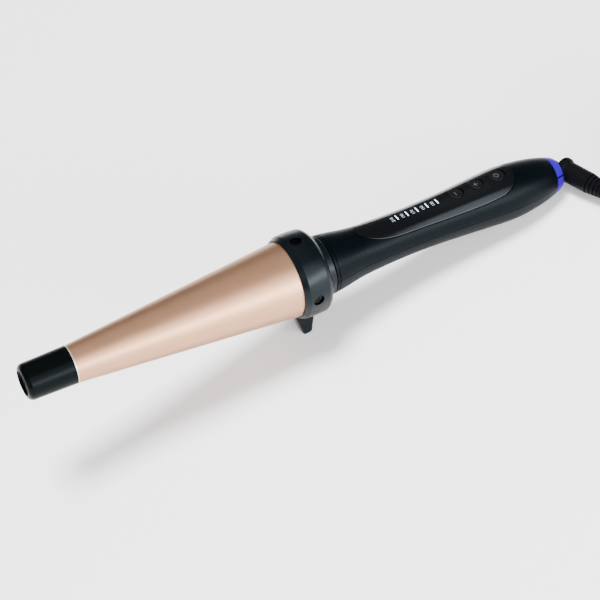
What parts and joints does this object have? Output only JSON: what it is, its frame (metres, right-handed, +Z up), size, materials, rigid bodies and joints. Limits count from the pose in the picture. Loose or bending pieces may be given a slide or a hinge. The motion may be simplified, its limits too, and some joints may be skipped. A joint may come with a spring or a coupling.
{
  "type": "curling wand",
  "caption": "Conical hair-curling wand at rest on its guard foot, with a control panel on the handle and a swivelling cord tied in a hank.",
  "frame": {"origin": "bottom centre of the wand without its cord, on the surface that it rests on", "axes": "+X runs from the tip to the tail, +Z is up, and the cord leaves towards -Y. The wand's own axis falls 10.24 degrees from level towards the tail."},
  "size_m": [0.4221, 0.0827, 0.0711],
  "materials": {
    "tip_plastic": "matte",
    "pale_rim": "satin",
    "barrel_metal": "satin",
    "guard_plastic": "satin",
    "handle_plastic": "soft satin",
    "panel_gloss": "gloss",
    "button_plastic": "satin",
    "light_white": "diffusing",
    "ring_blue": "translucent",
    "knuckle_plastic": "satin",
    "relief_rubber": "matte",
    "cord_rubber": "matte",
    "plug_plastic": "satin",
    "tie_rubber": "matte",
    "plated_metal": "nickel plated",
    "steel": "black zinc",
    "brass": "bright",
    "cast_alloy": "as extruded",
    "ceramic": "matte",
    "film": "film",
    "wire_cover": "satin",
    "nylon": "matte",
    "board": "satin",
    "components": "matte",
    "led": "gloss"
  },
  "bodies": {
    "wand": {"cool_tip": "tip_plastic", "tip_washer": "pale_rim", "barrel": "barrel_metal", "heat_guard": "guard_plastic", "front_ring": "guard_plastic", "handle_upper": "handle_plastic", "handle_lower": "handle_plastic", "control_panel": "panel_gloss", "light_guide": "light_white", "end_ring": "ring_blue", "swivel_bush": "knuckle_plastic", "tip_screw": "steel", "guard_screws": "steel", "handle_screws": "steel", "contact_brushes": "brass", "heat_spreader_upper": "cast_alloy", "heat_spreader_lower": "cast_alloy", "tip_bush": "cast_alloy", "ptc_heater": "ceramic", "thermistor": "ceramic", "thermal_fuse": "ceramic", "insulation_film": "film", "heater_leads": "wire_cover", "barrel_holder": "nylon", "circuit_board": "board", "board_components": "components", "tact_switches": "components", "indicator_leds": "led"},
    "button_minus": {"button_minus": "button_plastic"},
    "button_plus": {"button_plus": "button_plastic"},
    "button_power": {"button_power": "button_plastic"},
    "swivel": {"swivel_spindle": "knuckle_plastic", "spindle_clip": "steel", "contact_rings": "brass"},
    "cord_boot": {"strain_relief": "relief_rubber", "hinge_pin": "steel", "cord_lead": "cord_rubber", "cord_tail": "cord_rubber", "cord_hank": "cord_rubber", "hank_tie": "tie_rubber", "plug_body": "plug_plastic", "plug_pins": "plated_metal"}
  },
  "joints": [
    {"name": "press_minus", "type": "slide", "parent": "wand", "child": "button_minus", "axis": [-0.1778, 0, -0.9841], "range_m": [0, 0.0006], "stiffness_N_per_m": 800, "springref_m": -0.0006},
    {"name": "press_plus", "type": "slide", "parent": "wand", "child": "button_plus", "axis": [-0.1778, 0, -0.9841], "range_m": [0, 0.0006], "stiffness_N_per_m": 800, "springref_m": -0.0006},
    {"name": "press_power", "type": "slide", "parent": "wand", "child": "button_power", "axis": [-0.1778, 0, -0.9841], "range_m": [0, 0.0006], "stiffness_N_per_m": 800, "springref_m": -0.0006},
    {"name": "cord_swivel", "type": "hinge", "parent": "wand", "child": "swivel", "pos_m": [0.14756, 0, 0.00877], "axis": [0.9841, 0, -0.1778], "continuous": true},
    {"name": "boot_tilt", "type": "hinge", "parent": "swivel", "child": "cord_boot", "pos_m": [0.14756, 0, 0.00877], "axis": [0.1778, 0, 0.9841], "range_deg": [-5, 75]}
  ]
}
